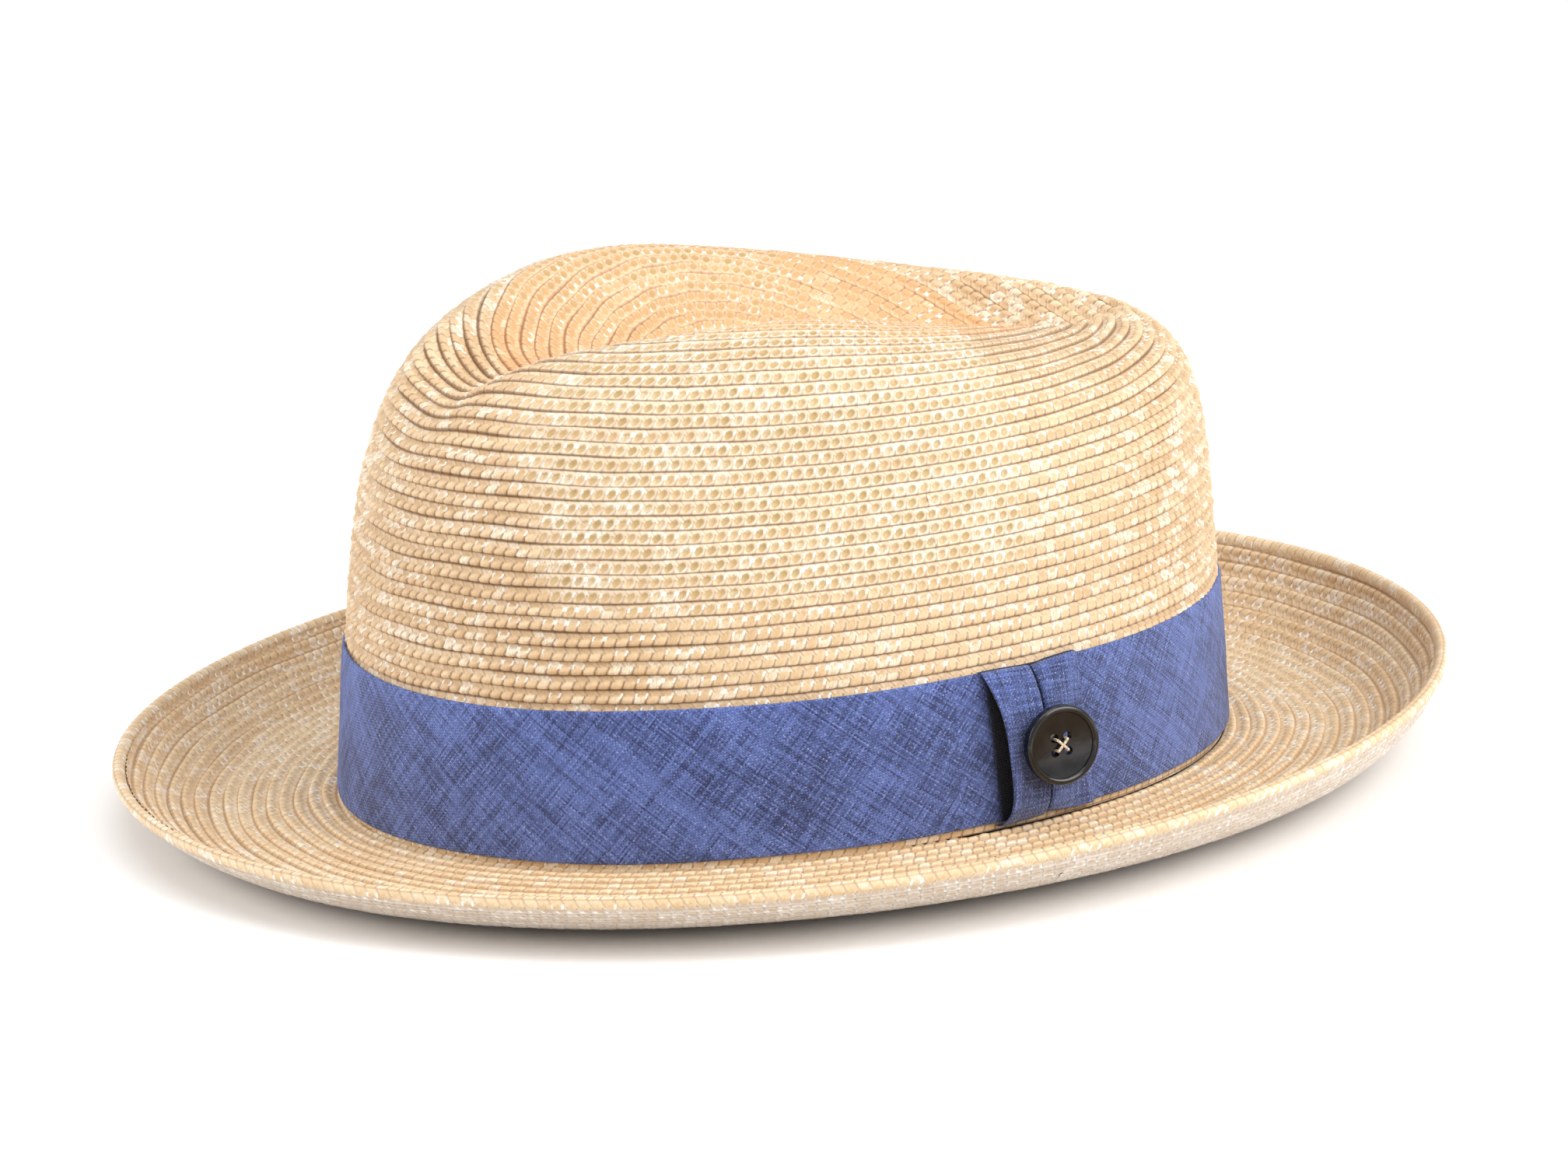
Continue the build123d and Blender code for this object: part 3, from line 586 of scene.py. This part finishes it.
def inward(shape, step):
    """The other face of a skin: the shape moved through the straw's thickness in each radial plane."""
    def moved(parameter, angle):
        here = shape(parameter, angle)
        more = shape(parameter + step, angle)
        r = np.hypot(here[..., 0], here[..., 1])
        dr = np.hypot(more[..., 0], more[..., 1]) - r
        dz = more[..., 2] - here[..., 2]
        size = np.hypot(dr, dz) + 1e-9
        way = 1 if shape is brim_top else -1
        inner_r = np.maximum(r + way * STRAW * dz / size, 0)
        return around(inner_r, angle, here[..., 2] - way * STRAW * dr / size)
    return moved


crown_skin = Skin(crown_outside, TIP_TURN, CROWN_COURSES)
lining_skin = Skin(inward(crown_outside, 0.003), TIP_TURN - 0.01, CROWN_COURSES)
brim_skin = Skin(brim_top, 1.0, BRIM_COURSES)
under_skin = Skin(inward(brim_top, 0.01), 1.0, BRIM_COURSES)

crown_parts = [
    plait("crown_foot", crown_skin, -1, BAND_COURSES, 480, rope, boldness=0.1),
    plait("crown_wall", crown_skin, BAND_COURSES, 24, 1300, crown_press, boldness=0.85),
    plait("crown_shoulder", crown_skin, 24, 38, 1300, crown_press, boldness=0.80),
    plait("crown_tip", crown_skin, 38, CROWN_COURSES, 960, crown_press, boldness=0.60),
    plait("crown_lining", lining_skin, -1, CROWN_COURSES, 300, rope, boldness=0.6, side=-1),
]
brim_parts = [
    plait("brim_inner", brim_skin, 0, 8, 1380, brim_press, boldness=0.75, side=-1, drift=-1),
    plait("brim_outer", brim_skin, 8, BRIM_COURSES + 1, 1740, brim_press, boldness=0.75, side=-1, drift=-1),
]
under_parts = [
    plait("brim_under_inner", under_skin, 0, 8, 840, under_press, boldness=0.45, drift=-1, sunk=UNDER_SUNK),
    plait("brim_under_outer", under_skin, 8, BRIM_COURSES + 1, 1680, under_press, boldness=0.45, drift=-1,
          sunk=UNDER_SUNK),
]


def rim_edge():
    """The last course doubled over the brim's edge: a flattened hoop with the loops showing on it."""
    columns, ring = 1680, 12
    angle = np.linspace(0, 2 * pi, columns, endpoint=False)
    edge = brim_top(np.ones(columns), angle)
    before = brim_top(np.full(columns, 0.98), angle)
    r = np.hypot(edge[:, 0], edge[:, 1])
    along = np.stack([r - np.hypot(before[:, 0], before[:, 1]), edge[:, 2] - before[:, 2]], -1)
    along /= np.linalg.norm(along, axis=1, keepdims=True)
    reach = RIM_COURSE / 2
    centre_r = r + along[:, 0] * reach + along[:, 1] * STRAW / 2
    centre_z = edge[:, 2] + along[:, 1] * reach - along[:, 0] * STRAW / 2
    length = np.concatenate([[0], np.cumsum(np.linalg.norm(np.diff(edge, axis=0), axis=1))])
    bead = length[:, None] / BEAD
    turn = np.linspace(0, 2 * pi, ring, endpoint=False)[None, :]
    loop = RIM_LOOP * np.abs(np.sin(pi * (bead + turn / pi)))
    long_r = (RIM_COURSE + loop) * np.cos(turn)
    thick_r = (RIM_THICK / 2 + loop) * np.sin(turn)
    out = centre_r[:, None] + along[:, :1] * long_r + along[:, 1:] * thick_r
    up = centre_z[:, None] + along[:, 1:] * long_r - along[:, :1] * thick_r
    points = around(out, angle[:, None], up)
    c, r = (g[..., None] for g in np.meshgrid(np.arange(columns), np.arange(ring), indexing="ij"))
    corner_c = c + np.array([0, 1, 1, 0])
    corner_r = r + np.array([0, 0, 1, 1])
    faces = ((corner_c % columns) * ring + corner_r % ring).reshape(-1, 4)
    beads = np.append(bead[:, 0], 2 * bead[-1, 0] - bead[-2, 0])
    plait_uv = np.stack([beads[corner_c], 100 + 2 * corner_r / ring], -1)
    bake = lanes(corner_c, c, corner_r, columns, ring + 1, 0, 1, RIM_LANES)
    return mesh_piece("rim_edge", points.reshape(-1, 3), faces,
                      {"OFBake": bake.reshape(-1, 2), "plait": plait_uv.reshape(-1, 2)},
                      {"press": np.full(loop.size, 0.3)})


rim = rim_edge()
for material, pieces in ((crown_straw, crown_parts[:3]), (glowing_tip_straw, crown_parts[3:]),
                         (brim_straw, brim_parts + [rim]), (under_straw, under_parts)):
    for piece in pieces:
        piece.data.materials.append(material)


# ---- cloth band ------------------------------------------------------------------------------------
def band_sections(columns=900):
    """Rings round the band's section, with both long edges folded over and a slight sway in the cloth."""
    angle = np.linspace(0, 2 * pi, columns, endpoint=False)[:, None]
    low = BAND_FOOT + 0.10 * np.sin(angle * 9)
    high = BAND_FOOT + BAND_HEIGHT + 0.12 * np.sin(angle * 7 + 0.6)
    levels = np.array([[0, 0.004, 0.02, 0.05, 0.25, 0.5, 0.75, 0.95, 0.98, 0.996, 1.0]])
    proud = np.array([[0.5, 0.8, 0.97, 1.0, 1.0, 1.0, 1.0, 1.0, 0.97, 0.8, 0.5]])
    height = low + (high - low) * levels
    sway = 0.07 * np.sin(angle * 5 + 1) + 0.05 * np.sin(angle * 13 + 2)
    sway = sway + 0.10 * np.sin(angle * 23 + levels * 9)
    out = BAND_THICK * proud + sway * np.sin(levels * pi) + 0.12
    outer = around(wall_radius(height, angle) + CLOTH_GAP + out, angle, head_line_z(angle) + height)
    inner_levels = np.array([[1.0, 0.98, 0.7, 0.3, 0.02, 0.0]])
    inner_out = np.array([[0.35, 0.02, 0.0, 0.0, 0.02, 0.35]]) * BAND_THICK
    height = low + (high - low) * inner_levels
    inner = around(wall_radius(height, angle) + CLOTH_GAP + inner_out, angle, head_line_z(angle) + height)
    return np.concatenate([outer, inner], axis=1)


# ---- keeper ----------------------------------------------------------------------------------------
def keeper_frame():
    """Middle of the keeper on the band's face, with its directions outwards, to the back and upwards."""
    a = np.array(KEEPER_ANGLE)
    flat_out = np.array([cos(a) / HEAD_HALF_WIDTH ** 2, sin(a) / HEAD_HALF_LENGTH ** 2, 0])
    flat_out /= np.linalg.norm(flat_out)
    back = np.array([-flat_out[1], flat_out[0], 0])
    low, middle, high = (float(wall_radius(BAND_FOOT + BAND_HEIGHT * share, a)) for share in (0, 0.5, 1))
    lean = atan2(low - high, BAND_HEIGHT)
    out = flat_out * cos(lean) + np.array([0, 0, 1]) * sin(lean)
    r = middle + CLOTH_GAP + BAND_THICK
    z = float(head_line_z(a)) + BAND_FOOT + BAND_HEIGHT / 2
    return np.array([r * cos(a), r * sin(a), z]), out, back, np.cross(out, back)


keeper_middle, keeper_out, keeper_back, keeper_up = keeper_frame()
band_rings = band_sections()
# Where the keeper lies over the band: this mask paints the band's cloth near black as a painted shadow.
off_middle = np.abs((band_rings - keeper_middle) @ keeper_back + KEEPER_LEAN * (band_rings - keeper_middle)
                    @ keeper_up / (BAND_HEIGHT / 2))
near_side = (band_rings - keeper_middle) @ keeper_out > -10
keeper_shadow = smooth((KEEPER_WIDTH / 2 - 0.2 - off_middle) / 0.9) * near_side
band = ribbon("cloth_band", band_rings, True, {"keeper_shadow": keeper_shadow})
band.data.materials.append(blue_cloth)


def stand_off(along, level):
    """How far the keeper's cloth stands off the band at a place across it and a level from -1 to 1."""
    share = along / (KEEPER_WIDTH / 2)
    front, middle, back = KEEPER_BULGES
    bulge = np.where(share < 0, middle + (front - middle) * -share, middle + (back - middle) * smooth(share))
    lowered = level + 0.25 * (1 - level ** 2)
    sag = np.sin(pi / 2 * (1 - np.abs(lowered) ** 2.2)) ** 0.8
    return KEEPER_ROOM + bulge * sag


def keeper_flap(name, slit_edge, fold_edge):
    """One half of the keeper: cloth from the slit to the side, where it folds and comes back behind."""
    half = BAND_HEIGHT / 2 + KEEPER_OVERHANG
    span = fold_edge - slit_edge
    width = np.linspace(0, 1, FLAP_ACROSS)
    bend = np.linspace(0, pi, 6)[1:-1]
    share = np.concatenate([width, 1 + 0.03 * np.sin(bend), width[::-1]])
    depth = np.concatenate([
        np.zeros(FLAP_ACROSS), -KEEPER_LAYER / 2 * (1 - np.cos(bend)), np.full(FLAP_ACROSS, -KEEPER_LAYER)])
    step = np.gradient(np.stack([share * abs(span), depth], -1), axis=0)
    step /= np.linalg.norm(step, axis=1, keepdims=True)
    rings = []
    for reach in np.linspace(-1 - FLAP_TUCK, 1 + FLAP_TUCK, FLAP_UP):
        level = np.clip(reach, -1, 1)
        tuck = (abs(reach) - abs(level)) / FLAP_TUCK
        faces = []
        for offset in (KEEPER_CLOTH / 2, -KEEPER_CLOTH / 2):
            s = share - step[:, 1] * offset / abs(span)
            d = depth + step[:, 0] * offset
            curl = abs(level) ** 6 * (1 - s) ** 2 * (0.9 if span > 0 else 0.5)
            pulled = KEEPER_PULL * s * (1 - abs(level + 0.2) ** 2.5 / 2) if span < 0 else 0
            bent = (0.9 * level - 1.4 * level ** 2) * (1 - s) * 0.6
            along = slit_edge + span * s + pulled * (1 - abs(level) ** 4) + bent - KEEPER_LEAN * level
            lift = SLIT_STEP * (1 - s) ** 3 if span < 0 else 0
            out = stand_off(along, level) + KEEPER_LAYER + KEEPER_CLOTH / 2 + d + lift
            out = out - curl * 0.6 - 1.3 * tuck - along ** 2 / (2 * BAND_CURVE)
            up = level * half - np.sign(level) * curl * 0.9
            faces.append(keeper_middle + keeper_back * along[:, None] + keeper_out * out[:, None]
                         + keeper_up * np.broadcast_to(up, along.shape)[:, None])
        rings.append(np.concatenate([faces[0], faces[1][::-1]]))
    sections = np.array(rings)
    return ribbon(name, sections if span < 0 else sections[:, ::-1], False)


flaps = [
    keeper_flap("keeper_front_flap", -SLIT, -KEEPER_WIDTH / 2),
    keeper_flap("keeper_back_flap", SLIT, KEEPER_WIDTH / 2),
]
for flap in flaps:
    flap.data.materials.append(shaded_keeper_cloth)


# ---- sweatband -------------------------------------------------------------------------------------
def sweat_sections(columns=360):
    """Rings round the sweatband's section: one face up the inside of the hat, its foot folded back up."""
    angle = np.linspace(0, 2 * pi, columns, endpoint=False)[:, None]
    base = head_line_z(angle) - STRAW / 2
    wall = wall_radius(SWEAT_FOLD, angle) - STRAW - CLOTH_GAP
    back = wall - SWEAT_THICK
    front = back - 2 * (REED_RADIUS + CLOTH_GAP)
    face = front - SWEAT_THICK
    top_front = np.minimum(front, wall_radius(SWEAT_HEIGHT, angle) - STRAW - 2 * CLOTH_GAP)
    fold = SWEAT_THICK
    ring = []
    for share in np.linspace(1, 0, 10):
        height = base + fold + (SWEAT_HEIGHT - fold) * share
        ring.append((face + (top_front - SWEAT_THICK - face) * share, height))
    for turn in np.linspace(pi, 2 * pi, 7)[1:-1]:
        ring.append(((face + wall) / 2 + (wall - face) / 2 * cos(turn), base + fold + fold * sin(turn)))
    ring += [(wall, base + fold), (wall, base + SWEAT_FOLD), (back, base + SWEAT_FOLD),
             (back, base + fold), (front, base + fold)]
    for share in np.linspace(0.1, 1, 8):
        ring.append((front + (top_front - front) * share, base + SWEAT_HEIGHT * share))
    return np.concatenate([around(r, angle, z) for r, z in ring], axis=1)


sweat = ribbon("sweatband_cloth", sweat_sections(), True)
sweat.data.materials.append(sweat_cloth)

# ---- CAD nodes that keep their own shape -------------------------------------------------------------
KEPT = {
    "button": horn, "button_shank": pale_thread, "button_thread": pale_thread, "band_tacks": blue_thread,
    "sweatband_stitches": pale_thread, "sweatband_reed": reed_stiff, "sweatband_tape": reed_stiff,
}
for node, material in KEPT.items():
    mesh = frame["nodes"][node].data
    mesh.materials.clear()
    mesh.materials.append(material)

# ---- what each piece is ------------------------------------------------------------------------------
for piece in crown_parts + brim_parts + under_parts + [rim]:
    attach(piece, "hat")
for piece in crown_parts:
    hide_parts("straw_crown", "tip_coil")
for piece in brim_parts + under_parts:
    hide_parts("straw_brim")
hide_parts("rim_course")

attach(band, "hat")
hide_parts("hat_band")
for flap in flaps:
    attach(flap, "hat")
    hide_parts("keeper")
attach(sweat, "hat")
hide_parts("sweatband")


# ---- floor, light and camera -------------------------------------------------------------------------
def floor():
    size = 4.0
    mesh = bpy.data.meshes.new("floor")
    corners = [(-size, -size, 0), (size, -size, 0), (size, size, 0), (-size, size, 0)]
    mesh.from_pydata(corners, [], [(0, 1, 2, 3)])
    ground = bpy.data.objects.new("floor", mesh)
    bpy.context.collection.objects.link(ground)
    m = Nodes("floor")
    grain = m.noise(m.add("ShaderNodeNewGeometry").outputs["Position"], 30.0)
    m.put(m.shader.inputs["Base Color"], m.mix(grain, [0.90, 0.90, 0.90, 1], [0.92, 0.92, 0.92, 1]))
    mesh.materials.append(m.finish(0.9, 0.1))


def lamp(name, azimuth, elevation, distance, size, power):
    data = bpy.data.lights.new(name, "AREA")
    data.shape = "DISK"
    data.size = size
    data.energy = power
    light = bpy.data.objects.new(name, data)
    a, e = radians(azimuth), radians(elevation)
    way = Vector((sin(a) * cos(e), -cos(a) * cos(e), sin(e)))
    light.location = way * distance + Vector((0, 0, 0.05))
    light.rotation_mode = "QUATERNION"
    light.rotation_quaternion = (-way).to_track_quat("-Z", "Y")
    bpy.context.collection.objects.link(light)


def world(strength):
    studio = bpy.data.worlds.new("studio")
    studio.use_nodes = True
    studio.node_tree.nodes["Background"].inputs["Color"].default_value = (1, 1, 1, 1)
    studio.node_tree.nodes["Background"].inputs["Strength"].default_value = strength
    bpy.context.scene.world = studio


def camera(azimuth, elevation, roll, distance, foot, aim_up, aim_side, lens):
    """Camera round the hat's middle at the height foot, turned by roll, which looks past it by the aims."""
    data = bpy.data.cameras.new("camera")
    data.lens = lens
    data.sensor_width = 36
    data.clip_end = 50
    eye = bpy.data.objects.new("camera", data)
    a, e, tilt = radians(azimuth), radians(elevation), radians(roll)
    view = np.array([sin(a) * cos(e), -cos(a) * cos(e), sin(e)])
    level = np.array([cos(a), sin(a), 0])
    upright = np.array([-sin(a) * sin(e), cos(a) * sin(e), cos(e)])
    side = level * cos(tilt) - upright * sin(tilt)
    top = level * sin(tilt) + upright * cos(tilt)
    middle = np.array([0, 0, foot])
    place = middle + view * distance
    back = place - (middle + top * aim_up + side * aim_side)
    back /= np.linalg.norm(back)
    side = np.cross(top, back)
    side /= np.linalg.norm(side)
    top = np.cross(back, side)
    eye.matrix_world = Matrix([[side[i], top[i], back[i], place[i] * MM] for i in range(3)] + [[0, 0, 0, 1]])
    bpy.context.collection.objects.link(eye)
    bpy.context.scene.camera = eye


floor()
world(0.66)
lamp("key", azimuth=124, elevation=36, distance=1.6, size=1.5, power=24)
lamp("fill", azimuth=-25, elevation=24, distance=1.8, size=1.2, power=15)
lamp("top", azimuth=60, elevation=80, distance=1.6, size=1.4, power=9)
camera(azimuth=63.576, elevation=16.883, roll=2.169, distance=1674.6, foot=6.3, aim_up=34.4, aim_side=-0.6,
       lens=170.3)
bpy.context.scene.view_settings.view_transform = "Standard"
